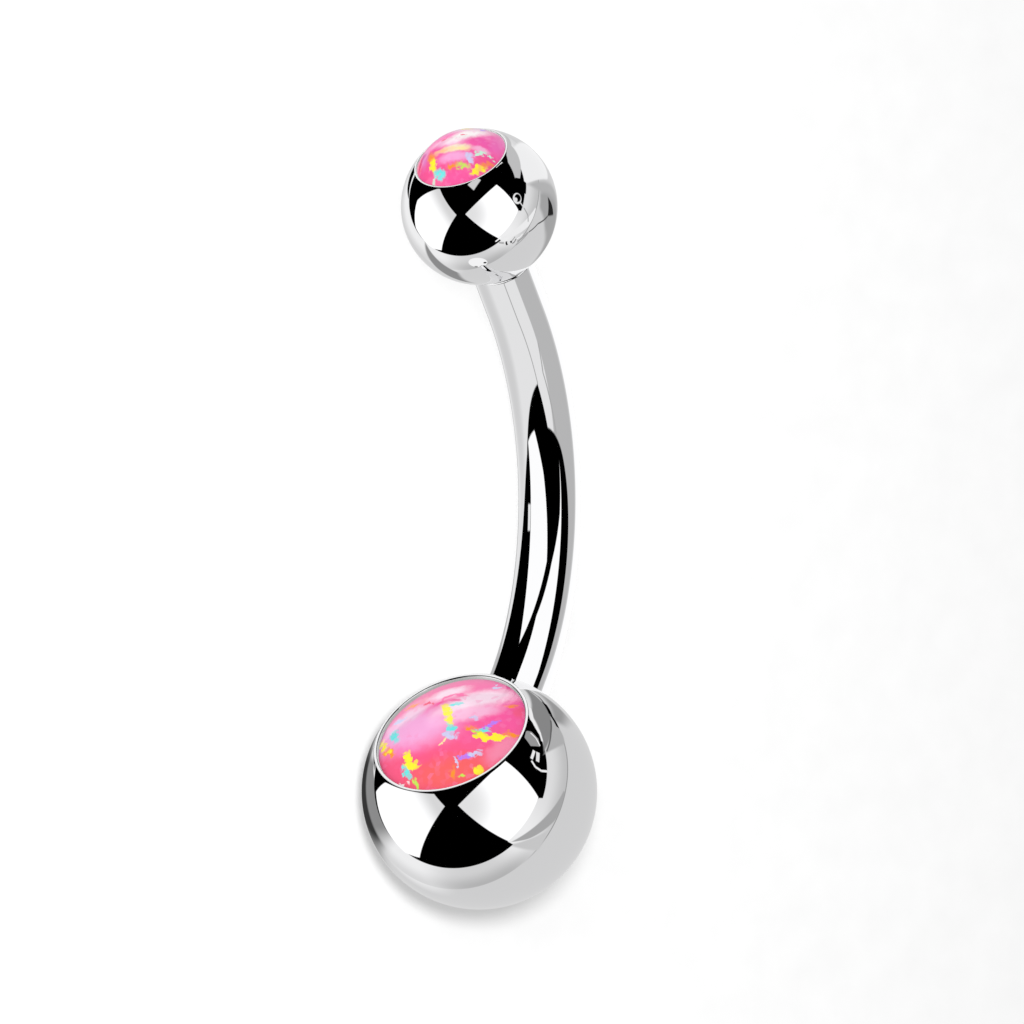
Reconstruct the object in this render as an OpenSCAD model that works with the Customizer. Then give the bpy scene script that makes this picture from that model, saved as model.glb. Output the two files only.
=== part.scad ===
// Belly button ring: a curved titanium bar with a fixed jewelled ball at its lower end
// and a smaller jewelled ball that unscrews from its upper end.
// It lies on a flat surface, on both balls and the outside of the bend.
// Millimetres, +Z up, +Y from the lower ball towards the upper one.
// The origin is the middle of the footprint, on the surface.

/* [Bar] */
// Diameter of the bar, the 14 gauge of navel jewellery
bar_d = 1.6; // [1.5:0.05:2]
// Radius of the bend, at the middle of the bar
bend_r = 7.5; // [6.5:0.1:10]
// Angle from the middle of the bend to each of its ends
end_angle = 40.5; // [32:0.5:46]
// Straight stretch beside the upper ball, which takes the thread
upper_straight = 1.2; // [1:0.1:3]
// Straight stretch beside the lower ball
lower_straight = 0.6; // [0.3:0.1:3]

/* [Balls] */
// Diameter of the lower ball, which is welded to the bar
lower_ball_d = 6; // [5.5:0.1:7]
// Diameter of the upper ball, which unscrews
upper_ball_d = 4; // [3.8:0.1:5]
// Angle between the lower stone's axis and the bar, where the bar leaves the lower ball
lower_face_angle = 86.5; // [84:0.5:100]

/* [Settings] */
// Diameter of the lower ball's lip, outside
lower_lip_d = 4.15; // [4.1:0.05:4.4]
// Thickness of the lower ball's lip
lower_lip_wall = 0.085; // [0.06:0.005:0.15]
// Depth of the lower stone's edge below the lip
lower_recess = 0.1; // [0.05:0.01:0.2]
// Diameter of the upper ball's lip, outside
upper_lip_d = 2.48; // [2.3:0.02:2.6]
// Thickness of the upper ball's lip
upper_lip_wall = 0.05; // [0.04:0.005:0.1]
// Depth of the upper stone's edge below the lip
upper_recess = 0.02; // [0.01:0.01:0.1]

/* [Stones] */
// Height of the lower stone's low dome above its edge
lower_dome = 0.5; // [0.3:0.05:0.8]
// Thickness of the lower stone below its edge
lower_stone_body = 0.85; // [0.5:0.05:0.95]
// Height of the upper stone's full dome above its edge
upper_dome = 0.59; // [0.3:0.01:0.7]
// Thickness of the upper stone below its edge
upper_stone_body = 0.6; // [0.4:0.05:0.8]

/* [Thread] */
// Outside diameter of the post's thread
post_d = 1.15; // [1.1:0.05:1.2]
// Depth of the thread's grooves
thread_depth = 0.09; // [0.06:0.01:0.12]
// Distance from one turn of the thread to the next
thread_pitch = 0.25; // [0.2:0.01:0.3]
// Length of the post beyond the upper ball's surface
post_length = 1.5; // [1.2:0.1:2]
// Diameter of the cup in the bar's end, where the upper ball seats
cup_d = 1.34; // [1.32:0.01:1.36]
// Depth of that cup
cup_depth = 0.4; // [0.3:0.05:0.5]

/* [Hidden] */
// Clearances: post to bore, ball to bar, stone to setting
running_gap = 0.025;
seat_gap = 0.02;
stone_gap = 0.01;
// Free depth below the post's tip, and the height of the drill's point as a share of the radius
bore_spare = 0.2;
drill_point = 0.6;
// Bevels at the bar's end, outside and at the cup's mouth, and round the foot of a stone
end_bevel = 0.04;
mouth_bevel = 0.02;
stone_bevel = 0.06;
$fn = 96;

bar_r = bar_d / 2;
lower_r = lower_ball_d / 2;
upper_r = upper_ball_d / 2;
post_r = post_d / 2;
bore_r = post_r + running_gap;
cup_r = cup_d / 2;

// Distance from the upper ball's centre to the bar's end face: the ball dips into the cup
end_face = sqrt(pow(upper_r, 2) - pow(cup_r + mouth_bevel, 2)) + seat_gap;
bore_bottom = upper_r + post_length + bore_spare;

// Both balls' centres in the plane of the bend, whose centre is 0,0 and whose middle is on +X
upper_reach = upper_straight + upper_r;
lower_reach = lower_straight + lower_r;
function ball_centre(reach) = [
    bend_r * cos(end_angle) - reach * sin(end_angle),
    bend_r * sin(end_angle) + reach * cos(end_angle)
];
upper_centre = ball_centre(upper_reach);
lower_centre = [ball_centre(lower_reach).x, -ball_centre(lower_reach).y];
span = upper_centre - lower_centre;
centre_distance = norm(span);
// Turn about Z that brings the upper ball straight above the lower one, along +Y
level_turn = atan2(span.x, span.y);

// The bend's centre, counted from the lower ball with the upper one on +Y
bend_x = -lower_centre.x * cos(level_turn) + lower_centre.y * sin(level_turn);
bend_y = -lower_centre.x * sin(level_turn) - lower_centre.y * cos(level_turn);

// The larger ball lifts its end of the bar, so the line of centres slopes by this much
slope_sin = (lower_r - upper_r) / centre_distance;
slope = asin(slope_sin);
// The bend tips down until its outside meets the surface: the lowest point of a circle
// of radius bend_r, in a plane whose tip has the sine tip_sin, is bar_r above the surface
drop = lower_r - bar_r - slope_sin * bend_y;
square_term = pow(bend_x, 2) - pow(bend_r, 2);
middle_term = -2 * drop * bend_x;
last_term = pow(drop, 2) - pow(bend_r * slope_sin, 2);
tip_sin = (-middle_term - sqrt(pow(middle_term, 2) - 4 * square_term * last_term)) / (2 * square_term);
tip = asin(tip_sin / cos(slope));

// Footprint, counted from the lower ball's centre
x_low = -lower_r;
x_high = (bend_x + bend_r) * cos(tip) + bar_r;
y_low = -lower_r;
y_high = centre_distance * cos(slope) + upper_r;

// The two settings, measured along each stone's axis from its ball's centre
lower_lip_h = sqrt(pow(lower_r, 2) - pow(lower_lip_d / 2, 2));
lower_seat_r = lower_lip_d / 2 - lower_lip_wall;
lower_girdle = lower_lip_h - lower_recess;
upper_lip_h = sqrt(pow(upper_r, 2) - pow(upper_lip_d / 2, 2));
upper_seat_r = upper_lip_d / 2 - upper_lip_wall;
upper_girdle = upper_lip_h - upper_recess;

// From the plane of the bend to the part's own frame
module laid_down() {
    translate([-(x_low + x_high) / 2, -(y_low + y_high) / 2, lower_r])
        rotate([-slope, 0, 0])
            rotate([0, tip, 0])
                rotate([0, 0, level_turn])
                    translate([-lower_centre.x, -lower_centre.y, 0])
                        children();
}

// At an end of the bend, with +Z along the bar and away from the bend: side 1 is the upper end
module at_bend_end(side) {
    rotate([0, 0, side * end_angle])
        translate([bend_r, 0, 0])
            rotate([-side * 90, 0, 0])
                children();
}

// At the upper ball's centre, with +Z through its stone
module at_upper_ball() {
    at_bend_end(1)
        translate([0, 0, upper_reach])
            children();
}

// At the lower ball's centre, with +Z through its stone
module at_lower_ball() {
    rotate([0, 0, -end_angle])
        translate([bend_r, -lower_reach, 0])
            rotate([0, 0, lower_face_angle])
                rotate([-90, 0, 0])
                    children();
}

// A ball cut flat at the top of its lip, with the well that the stone sits in
module set_ball(ball_r, lip_h, seat_r, floor_h) {
    difference() {
        sphere(r = ball_r);
        translate([0, 0, lip_h])
            cylinder(h = ball_r, r = ball_r);
        translate([0, 0, floor_h])
            cylinder(h = ball_r, r = seat_r);
    }
}

// A domed stone: bevelled flat back, straight side, then a dome from its edge
module cabochon(stone_r, girdle_h, body_h, dome_h) {
    dome_r = (pow(stone_r, 2) + pow(dome_h, 2)) / (2 * dome_h);
    dome_centre = girdle_h + dome_h - dome_r;
    back = girdle_h - body_h;
    translate([0, 0, back])
        cylinder(h = stone_bevel, r1 = stone_r - stone_bevel, r2 = stone_r);
    translate([0, 0, back + stone_bevel])
        cylinder(h = body_h - stone_bevel, r = stone_r);
    intersection() {
        translate([0, 0, dome_centre])
            sphere(r = dome_r);
        translate([-2 * stone_r, -2 * stone_r, girdle_h])
            cube([4 * stone_r, 4 * stone_r, 2 * dome_h]);
    }
}

// The post: one ridge for each turn of the thread, hanging below the ball's centre
module ridged_post() {
    root_r = post_r - thread_depth;
    turns = floor(post_length / thread_pitch);
    tip_z = -(upper_r + post_length);
    rotate_extrude()
        polygon(concat(
            [[0, -upper_r / 2], [root_r, -upper_r / 2]],
            [for (i = [0:turns - 1], corner = [[0.15, 0], [0.4, 1], [0.6, 1], [0.85, 0]])
                [root_r + corner.y * thread_depth, -upper_r - (i + corner.x) * thread_pitch]],
            [[root_r - end_bevel, tip_z], [0, tip_z]]
        ));
}

// What is drilled out of the bar's upper end: bevelled mouth, cup, threaded length, drill point
module bore_void() {
    cup_floor = end_face + cup_depth;
    rotate_extrude()
        polygon([
            [0, -end_face + seat_gap * 2],
            [cup_r + mouth_bevel, -end_face + seat_gap * 2],
            [cup_r + mouth_bevel, -end_face],
            [cup_r, -end_face - mouth_bevel],
            [cup_r, -cup_floor],
            [bore_r, -cup_floor],
            [bore_r, -bore_bottom],
            [0, -bore_bottom - bore_r * drill_point]
        ]);
}

module curved_bar() {
    plain_end = upper_reach - end_face - end_bevel;
    color("silver")
        laid_down()
            difference() {
                union() {
                    rotate([0, 0, -end_angle])
                        rotate_extrude(angle = 2 * end_angle)
                            translate([bend_r, 0])
                                circle(r = bar_r);
                    at_bend_end(1)
                        cylinder(h = plain_end, r = bar_r);
                    at_bend_end(1)
                        translate([0, 0, plain_end])
                            cylinder(h = end_bevel, r1 = bar_r, r2 = bar_r - end_bevel);
                    at_bend_end(-1)
                        cylinder(h = lower_reach - bar_r, r = bar_r);
                    at_lower_ball()
                        set_ball(lower_r, lower_lip_h, lower_seat_r, lower_girdle - lower_stone_body - stone_gap);
                }
                at_upper_ball()
                    bore_void();
            }
}

module lower_stone() {
    color("hotpink")
        laid_down()
            at_lower_ball()
                cabochon(lower_seat_r - stone_gap, lower_girdle, lower_stone_body, lower_dome);
}

module upper_ball() {
    color("silver")
        laid_down()
            at_upper_ball()
                union() {
                    set_ball(upper_r, upper_lip_h, upper_seat_r, upper_girdle - upper_stone_body - stone_gap);
                    ridged_post();
                }
}

module upper_stone() {
    color("hotpink")
        laid_down()
            at_upper_ball()
                cabochon(upper_seat_r - stone_gap, upper_girdle, upper_stone_body, upper_dome);
}

curved_bar();
lower_stone();
upper_ball();
upper_stone();
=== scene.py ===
# %% [markdown]
# # A belly button ring in polished titanium and pink opal
# A navel ring is a short bent bar with a jewelled ball on each end. The large lower ball is
# welded on; the small upper one unscrews, so that the bar can pass through the piercing.
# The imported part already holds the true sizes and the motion. This lesson builds the looks
# around it: fine turned skins, a real thread, mirror polish, opal, and a studio to reflect.

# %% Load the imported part
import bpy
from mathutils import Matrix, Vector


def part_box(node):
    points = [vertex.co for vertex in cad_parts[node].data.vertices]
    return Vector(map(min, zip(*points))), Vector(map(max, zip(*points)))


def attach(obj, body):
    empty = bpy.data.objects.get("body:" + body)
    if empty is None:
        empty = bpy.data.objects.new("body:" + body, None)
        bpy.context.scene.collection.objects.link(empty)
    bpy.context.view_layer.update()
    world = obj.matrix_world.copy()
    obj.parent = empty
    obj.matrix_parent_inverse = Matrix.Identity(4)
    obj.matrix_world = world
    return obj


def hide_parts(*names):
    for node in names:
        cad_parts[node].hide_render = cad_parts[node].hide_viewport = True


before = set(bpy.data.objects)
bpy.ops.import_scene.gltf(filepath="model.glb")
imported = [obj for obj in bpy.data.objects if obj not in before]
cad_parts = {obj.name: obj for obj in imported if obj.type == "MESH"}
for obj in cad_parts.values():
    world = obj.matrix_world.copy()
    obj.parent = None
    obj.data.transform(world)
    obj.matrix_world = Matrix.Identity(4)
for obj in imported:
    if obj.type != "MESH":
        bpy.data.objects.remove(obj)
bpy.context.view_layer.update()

# %% [markdown]
# ## Tools of the trade
# Sizes are written in millimetres, as a jeweller would, and turned into metres when a mesh is
# made, because Blender works in metres. numpy handles lists of points faster than plain loops.

# %% Modules and the millimetre
from math import acos, asin, atan2, ceil, cos, degrees, hypot, pi, radians, sin, sqrt, tan

import bmesh
import bpy
import numpy as np
from mathutils import Matrix, Vector

MM = 0.001
scene = bpy.context.scene

# %% [markdown]
# ## One small class for node maths
# Shader, world and geometry trees are all graphs of nodes. Placing a Math node by hand for each
# plus and times hides the idea, so this class wraps one output socket and lets Python's own
# operators add the nodes. The reflected forms make `1 - mask` work as well as `mask - 1`.
# Any other node comes from `node`: its settings are set first, because some settings change
# which sockets exist, and then each socket gets a plain value or a link.

# %% The Wire class
class Wire:
    """A node's output. Arithmetic on it adds Math nodes."""

    def __init__(self, tree, socket):
        self.tree = tree
        self.socket = socket

    @staticmethod
    def node(tree, kind, settings=None, inputs=None, output=0):
        made = tree.nodes.new(kind)
        for name, value in (settings or {}).items():
            setattr(made, name, value)
        for key, value in (inputs or {}).items():
            if isinstance(value, Wire):
                tree.links.new(value.socket, made.inputs[key])
            else:
                made.inputs[key].default_value = value
        return Wire(tree, made.outputs[output] if made.outputs else None)

    def maths(self, operation, *others):
        inputs = dict(enumerate((self, *others)))
        return Wire.node(self.tree, "ShaderNodeMath", {"operation": operation}, inputs)

    def swapped(self, operation, first):
        inputs = {0: first, 1: self}
        return Wire.node(self.tree, "ShaderNodeMath", {"operation": operation}, inputs)

    def __add__(self, other):
        return self.maths("ADD", other)

    def __sub__(self, other):
        return self.maths("SUBTRACT", other)

    def __mul__(self, other):
        return self.maths("MULTIPLY", other)

    def __truediv__(self, other):
        return self.maths("DIVIDE", other)

    def __radd__(self, first):
        return self.swapped("ADD", first)

    def __rsub__(self, first):
        return self.swapped("SUBTRACT", first)

    def __rmul__(self, first):
        return self.swapped("MULTIPLY", first)

    def __rtruediv__(self, first):
        return self.swapped("DIVIDE", first)

    def vector(self, operation, other=None, output=0):
        """Vector Math, for places, directions and colours."""
        inputs = {0: self} if other is None else {0: self, 1: other}
        return Wire.node(self.tree, "ShaderNodeVectorMath", {"operation": operation}, inputs, output)

    def dot(self, direction):
        return self.vector("DOT_PRODUCT", tuple(direction), output=1)

    def ramp(self, low, high, soft=True):
        """0 below low and 1 above high, easing in between; low may be the larger one."""
        kind = "SMOOTHSTEP" if soft else "LINEAR"
        inputs = {0: self, 1: low, 2: high}
        return Wire.node(self.tree, "ShaderNodeMapRange", {"interpolation_type": kind}, inputs)

    def blend(self, bottom, top):
        """Mixes two colours, with this socket as the amount of the top one."""
        inputs = {0: self, 6: bottom, 7: top}
        return Wire.node(self.tree, "ShaderNodeMix", {"data_type": "RGBA"}, inputs, 2)


def paint(code):
    """A colour code such as ff8844 as Blender's linear colour, by the formula of the sRGB standard."""
    shades = [int(code[i:i + 2], 16) / 255 for i in (0, 2, 4)]
    return (*[s / 12.92 if s < 0.04045 else ((s + 0.055) / 1.055) ** 2.4 for s in shades], 1.0)


print("mid grey, linear:", round(paint("808080")[0], 3))

# %% [markdown]
# ## Where everything lies
# The ring is drawn flat, in the plane of its bend, with the middle of the bend on +X. Then it
# is laid on the table: turned so that the balls are in line with Y, tipped until the outside of
# the bend touches, and sloped because the lower ball is the larger. These are the CAD part's
# own steps, so every piece made here drops into place with no fitting.

# %% Sizes and the move from the bend's plane to the table
BAR_R, BEND_R, HALF_BEND = 0.8, 7.5, radians(40.5)
LOWER_R, UPPER_R = 3.0, 2.0
LOWER_STRAIGHT, UPPER_STRAIGHT = 0.6, 1.2
LOWER_REACH, UPPER_REACH = LOWER_STRAIGHT + LOWER_R, UPPER_STRAIGHT + UPPER_R
FACE_ANGLE = radians(86.5)


def past_bend(reach, side):
    """A point on the bar's centre line, this far past the upper (1) or lower (-1) end of the bend."""
    x = BEND_R * cos(HALF_BEND) - reach * sin(HALF_BEND)
    return Vector((x, side * (BEND_R * sin(HALF_BEND) + reach * cos(HALF_BEND)), 0))


upper_centre, lower_centre = past_bend(UPPER_REACH, 1), past_bend(LOWER_REACH, -1)
span = upper_centre - lower_centre
turn = Matrix.Rotation(atan2(span.x, span.y), 4, "Z")
bend_centre = turn @ -lower_centre
slope_sin = (LOWER_R - UPPER_R) / span.length
slope = asin(slope_sin)
drop = LOWER_R - BAR_R - slope_sin * bend_centre.y
squares = bend_centre.x ** 2 - BEND_R ** 2
middle = -2 * drop * bend_centre.x
discriminant = middle ** 2 - 4 * squares * (drop ** 2 - (BEND_R * slope_sin) ** 2)
tip_sin = (-middle - sqrt(discriminant)) / (2 * squares)
tip = asin(tip_sin / cos(slope))
x_high = (bend_centre.x + BEND_R) * cos(tip) + BAR_R
y_high = span.length * cos(slope) + UPPER_R
LAID_DOWN = (
    Matrix.Translation(((LOWER_R - x_high) / 2, (LOWER_R - y_high) / 2, LOWER_R))
    @ Matrix.Rotation(-slope, 4, "X")
    @ Matrix.Rotation(tip, 4, "Y")
    @ turn
    @ Matrix.Translation(-lower_centre)
)
# At each ball's centre, with +Y out through the stone
AT_UPPER = LAID_DOWN @ Matrix.Translation(upper_centre) @ Matrix.Rotation(HALF_BEND, 4, "Z")
AT_LOWER = LAID_DOWN @ Matrix.Translation(lower_centre) @ Matrix.Rotation(FACE_ANGLE - HALF_BEND, 4, "Z")
print("lower ball centre, mm:", [round(c, 3) for c in AT_LOWER.translation])
print("upper ball centre, mm:", [round(c, 3) for c in AT_UPPER.translation])

# %% [markdown]
# ## Outlines, as a turner draws them
# Every hard piece here is turned: a half outline swept round an axis. An outline is a list of
# points (along, out, tooled): the distance along the axis, the distance out from it, and how
# far the spot is from mirror polish. No real edge is a knife edge, so `soften` replaces marked
# corners with small arcs, which is also what lets an edge catch a line of light.

# %% Helpers that draw outlines
def arc(along, out, radius, start, end, step, tooled=0.0):
    """Points of a circular arc. Angles are in degrees, from +along towards outwards."""
    count = max(2, ceil(abs(end - start) / step) + 1)
    angles = np.radians(np.linspace(start, end, count))
    return [(along + radius * cos(a), out + radius * sin(a), tooled) for a in angles]


def stretch(start, end, out, step, tooled=0.0):
    """Points at one distance from the axis, at even steps along it."""
    count = max(2, ceil(abs(end - start) / step) + 1)
    return [(a, out, tooled) for a in np.linspace(start, end, count)]


def soften(before, corner, after, radius, tooled=0.0, parts=5):
    """The arc that replaces a corner between two neighbouring points of an outline."""
    c = Vector(corner)
    a, b = (Vector(before[:2]) - c).normalized(), (Vector(after[:2]) - c).normalized()
    half = acos(max(-1.0, min(1.0, a.dot(b)))) / 2
    centre = c + (a + b).normalized() * (radius / sin(half))
    starts, ends = ((c + side * (radius / tan(half)) - centre).normalized() for side in (a, b))
    rows = [centre + starts.slerp(ends, i / parts) * radius for i in range(parts + 1)]
    return [(p.x, p.y, tooled) for p in rows]


print("a quarter arc in 9 degree steps:", len(arc(0, 0, 1, 0, 90, 9)), "points")

# %% [markdown]
# ## A lathe, a bender and a thread cutter in one node tree
# The bar could be a curve with a round profile, but its end has a cup and a threaded hole, and
# a curve can't turn back into itself. So the piece starts as a flat sheet, one row for each
# point of the outline and one column for each angle, and Geometry Nodes wrap the sheet round
# the axis. The same tree bends the axis into an arc with straight ends, and cuts a screw thread:
# a ridge that climbs one pitch for each turn, so the radius depends on angle and distance.
# All pieces share this tree and differ only in its named inputs.

# %% The turning tree
NUMBER_INPUTS = ("Bend Radius", "Half Bend", "Thread Height", "Thread Pitch", "Thread Start",
                 "Thread End", "Thread Within", "Merge Distance")


def turning_tree():
    tree = bpy.data.node_groups.new("turned_bent_threaded", "GeometryNodeTree")
    face = tree.interface
    face.new_socket("Geometry", in_out="INPUT", socket_type="NodeSocketGeometry")
    for word in NUMBER_INPUTS:
        face.new_socket(word, in_out="INPUT", socket_type="NodeSocketFloat")
    face.new_socket("Finish", in_out="INPUT", socket_type="NodeSocketMaterial")
    face.new_socket("Geometry", in_out="OUTPUT", socket_type="NodeSocketGeometry")
    entry = tree.nodes.new("NodeGroupInput")
    given = {s.name: Wire(tree, s) for s in entry.outputs if s.name}

    sheet = Wire.node(tree, "GeometryNodeInputPosition")
    split = Wire.node(tree, "ShaderNodeSeparateXYZ", inputs={0: sheet})
    along, out, angle = (Wire(tree, s) for s in split.socket.node.outputs)

    # The thread: a flat-topped ridge, faded in and out over half a turn
    pitch = given["Thread Pitch"]
    climb = (along / pitch + angle / (2 * pi)).maths("FRACT")
    ridge = (climb - 0.5).maths("ABSOLUTE").ramp(0.35, 0.1, soft=False)
    lead_in = (along - given["Thread Start"]).ramp(0.0, pitch * 0.5, soft=False)
    run_out = (given["Thread End"] - along).ramp(0.0, pitch * 0.5, soft=False)
    inside = given["Thread Within"].maths("GREATER_THAN", out)
    cut = ridge * lead_in * run_out * inside
    radius = out + given["Thread Height"] * cut

    # The bend: the angle follows the distance up to the bend's end, and the rest goes straight on
    bend, half = given["Bend Radius"], given["Half Bend"]
    turned = (along / bend.maths("MAXIMUM", 1e-6)).maths("MAXIMUM", half * -1).maths("MINIMUM", half)
    onward = along - bend * turned
    lean, rise = turned.maths("COSINE"), turned.maths("SINE")
    reach = bend + radius * angle.maths("COSINE")
    place = Wire.node(tree, "ShaderNodeCombineXYZ", inputs={
        0: reach * lean - onward * rise,
        1: reach * rise + onward * lean,
        2: radius * angle.maths("SINE"),
    })
    kept = Wire.node(tree, "GeometryNodeStoreNamedAttribute", {"data_type": "FLOAT"},
                     {"Geometry": given["Geometry"], "Name": "along", "Value": along})
    wrapped = Wire.node(tree, "GeometryNodeSetPosition", inputs={"Geometry": kept, "Position": place})
    closed = Wire.node(tree, "GeometryNodeMergeByDistance",
                       inputs={"Geometry": wrapped, "Distance": given["Merge Distance"]})
    smooth = Wire.node(tree, "GeometryNodeSetShadeSmooth", inputs={0: closed})
    real = Wire.node(tree, "GeometryNodeRealizeInstances", inputs={0: smooth})
    painted = Wire.node(tree, "GeometryNodeSetMaterial",
                        inputs={"Geometry": real, "Material": given["Finish"]})
    leave = tree.nodes.new("NodeGroupOutput")
    tree.links.new(painted.socket, leave.inputs[0])
    return tree


TURNING = turning_tree()
print("turning tree:", len(TURNING.nodes), "nodes")

# %% [markdown]
# ## From outline to finished mesh
# The flat sheet gets the node tree as a modifier. Its inputs are found by socket identifier and
# set before the first evaluation. Blender then hands back the evaluated result as a plain mesh,
# which is moved to its place on the table, its normals are turned outwards, and every edge is
# checked to have exactly two faces: a turned piece has to be watertight.

# %% Turning a piece
def new_object(name, data):
    made = bpy.data.objects.new(name, data)
    scene.collection.objects.link(made)
    return made


def turned_piece(name, outline, columns, finish, place, **named):
    """A closed mesh object from an outline in millimetres. The tree's inputs are given by name."""
    rows = np.array(outline)
    angles = np.linspace(0, 2 * pi, columns + 1)
    across = columns + 1
    sheet = np.empty((len(rows), across, 3))
    sheet[:, :, :2] = rows[:, None, :2] * MM
    sheet[:, :, 2] = angles
    corner = np.arange(len(rows) - 1)[:, None] * across + np.arange(columns)
    faces = np.stack([corner, corner + 1, corner + across + 1, corner + across], axis=-1).reshape(-1, 4)
    mesh = bpy.data.meshes.new(name + "_sheet")
    mesh.from_pydata(sheet.reshape(-1, 3).tolist(), [], faces.tolist())
    tooled = mesh.attributes.new("tooled", "FLOAT", "POINT")
    tooled.data.foreach_set("value", np.repeat(rows[:, 2], across).astype(np.float32))
    piece = new_object(name, mesh)

    modifier = piece.modifiers.new("turning", "NODES")
    modifier.node_group = TURNING
    wanted = {"Thread Pitch": MM, "Merge Distance": 2e-7, "Finish": finish, **named}
    for socket in TURNING.interface.items_tree:
        if socket.in_out == "INPUT" and socket.name in wanted:
            modifier[socket.identifier] = wanted[socket.name]
    bpy.context.view_layer.update()
    evaluated = piece.evaluated_get(bpy.context.evaluated_depsgraph_get())
    solid = bpy.data.meshes.new_from_object(evaluated)
    piece.modifiers.clear()
    piece.data = solid
    solid.name = name
    bpy.data.meshes.remove(mesh)

    shift = place.copy()
    shift.translation = place.translation * MM
    solid.transform(shift)
    edit = bmesh.new()
    edit.from_mesh(solid)
    bmesh.ops.recalc_face_normals(edit, faces=edit.faces)
    if edit.calc_volume(signed=True) < 0:
        bmesh.ops.reverse_faces(edit, faces=edit.faces)
    loose = sum(len(e.link_faces) != 2 for e in edit.edges)
    volume = edit.calc_volume() / MM ** 3
    edit.to_mesh(solid)
    edit.free()
    print(f"{name}: {len(solid.polygons)} faces, {volume:.2f} mm3, open edges {loose}")
    return piece


# %% [markdown]
# ## Mirror-polished titanium
# Bare titanium alloy, polished on a felt wheel, is a neutral grey mirror. A metal's colour is
# the colour of its reflections, so Base Color is a light cool grey and Metallic is 1. Real
# polish is never perfect: the wheel leaves hair lines round each turned piece, and a very
# slight waviness that makes reflected edges wander. The hair lines and a few cloudy patches go
# into Roughness, the waviness into a Bump node. Where the `tooled` attribute says that a
# surface was cut and not polished, as on the thread and in the bore, it turns satin and darker.

# %% The titanium
def new_material(name):
    material = bpy.data.materials.new(name)
    material.use_nodes = True
    tree = material.node_tree
    tree.nodes.clear()
    return material, tree


def finish_material(tree, inputs):
    surface = Wire.node(tree, "ShaderNodeBsdfPrincipled", inputs=inputs)
    Wire.node(tree, "ShaderNodeOutputMaterial", inputs={"Surface": surface})


def polished_titanium():
    material, tree = new_material("polished_titanium")
    where = Wire.node(tree, "ShaderNodeTexCoord", output="Object")
    along = Wire.node(tree, "ShaderNodeAttribute", {"attribute_name": "along"}, output="Fac")
    tooled = Wire.node(tree, "ShaderNodeAttribute", {"attribute_name": "tooled"}, output="Fac")

    def cloud(scale, detail):
        inputs = {"Vector": where, "Scale": scale, "Detail": detail}
        return Wire.node(tree, "ShaderNodeTexNoise", inputs=inputs)

    lines = Wire.node(tree, "ShaderNodeTexNoise", {"noise_dimensions": "1D"},
                      {"W": along, "Scale": 45000.0, "Detail": 3.0})
    patches = cloud(420.0, 2.0)
    grain = cloud(26000.0, 2.0)
    polish = 0.012 + 0.02 * patches.ramp(0.35, 0.8) + 0.012 * lines.ramp(0.45, 0.8)
    cut = 0.16 + 0.2 * grain
    roughness = polish * (1 - tooled) + cut * tooled
    bright = (patches * 0.5 + 0.25).blend(paint("ebebec"), paint("f0f0f1"))
    colour = tooled.blend(bright, paint("c4c3c2"))
    wave = cloud(650.0, 1.0)
    height = wave * 0.9 + grain * tooled * 0.9
    bump = Wire.node(tree, "ShaderNodeBump", inputs={"Strength": 0.35, "Distance": 4e-6, "Height": height})
    finish_material(tree, {
        "Base Color": colour, "Metallic": 1.0, "Roughness": roughness, "Normal": bump,
    })
    return material


TITANIUM = polished_titanium()
print("polished titanium:", len(TITANIUM.node_tree.nodes), "nodes")

# %% [markdown]
# ## The bent bar
# The bar is 14 gauge wire, 1.6 mm thick, bent to a radius of 7.5 mm. At the lower end it runs
# into the ball with a small fillet where the weld was dressed. At the upper end it is faced
# flat, with a thin bright rim, a cup that the upper ball sits in, a shoulder, and a tapped hole.
# The outline starts on the axis inside the lower ball, runs up the outside, turns over the rim
# and goes back down the hole to the drill's point, so the whole bar is one closed skin.

# %% The bar's outline and mesh
PITCH = 0.25
CUP_R, CUP_DEPTH, BORE_R, BORE_DEPTH = 0.67, 0.4, 0.62, 3.7
END_BEVEL, MOUTH_BEVEL, SEAT_GAP, CUP_FILLET, DRILL_POINT = 0.04, 0.02, 0.02, 0.025, 0.36
bend_end = BEND_R * HALF_BEND
low_ball, up_ball = -(bend_end + LOWER_REACH), bend_end + UPPER_REACH
end_face = up_ball - (sqrt(UPPER_R ** 2 - (CUP_R + MOUTH_BEVEL) ** 2) + SEAT_GAP)

WELD = 0.08
weld_along = low_ball + sqrt((LOWER_R + WELD) ** 2 - (BAR_R + WELD) ** 2)
weld_start = -180 + degrees(atan2(BAR_R + WELD, weld_along - low_ball))
# The first three points are hidden inside the lower ball
bar_outline = [(weld_along - 0.5, 0, 0), (weld_along - 0.5, 0.7, 0), (weld_along - 0.15, BAR_R, 0)]
bar_outline += arc(weld_along, BAR_R + WELD, WELD, weld_start, -90, 9)
bar_outline += stretch(weld_along + 0.06, end_face - 0.06, BAR_R, 0.11)
bar_outline += arc(end_face - END_BEVEL, BAR_R - END_BEVEL, END_BEVEL, 90, 0, 11)
bar_outline += [(end_face, 0.725, 0.03)]
bar_outline += arc(end_face - MOUTH_BEVEL, CUP_R + MOUTH_BEVEL, MOUTH_BEVEL, 0, -90, 22)
cup_floor = end_face - CUP_DEPTH
bar_outline += stretch(end_face - 0.06, cup_floor + 0.05, CUP_R, 0.05, 0.35)
bar_outline += arc(cup_floor + CUP_FILLET, CUP_R - CUP_FILLET, CUP_FILLET, 90, 180, 30, 0.35)
bar_outline += arc(cup_floor - 0.015, BORE_R, 0.015, 60, 90, 30, 0.2)
thread_top, bore_bottom = cup_floor - 0.03, up_ball - BORE_DEPTH
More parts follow.
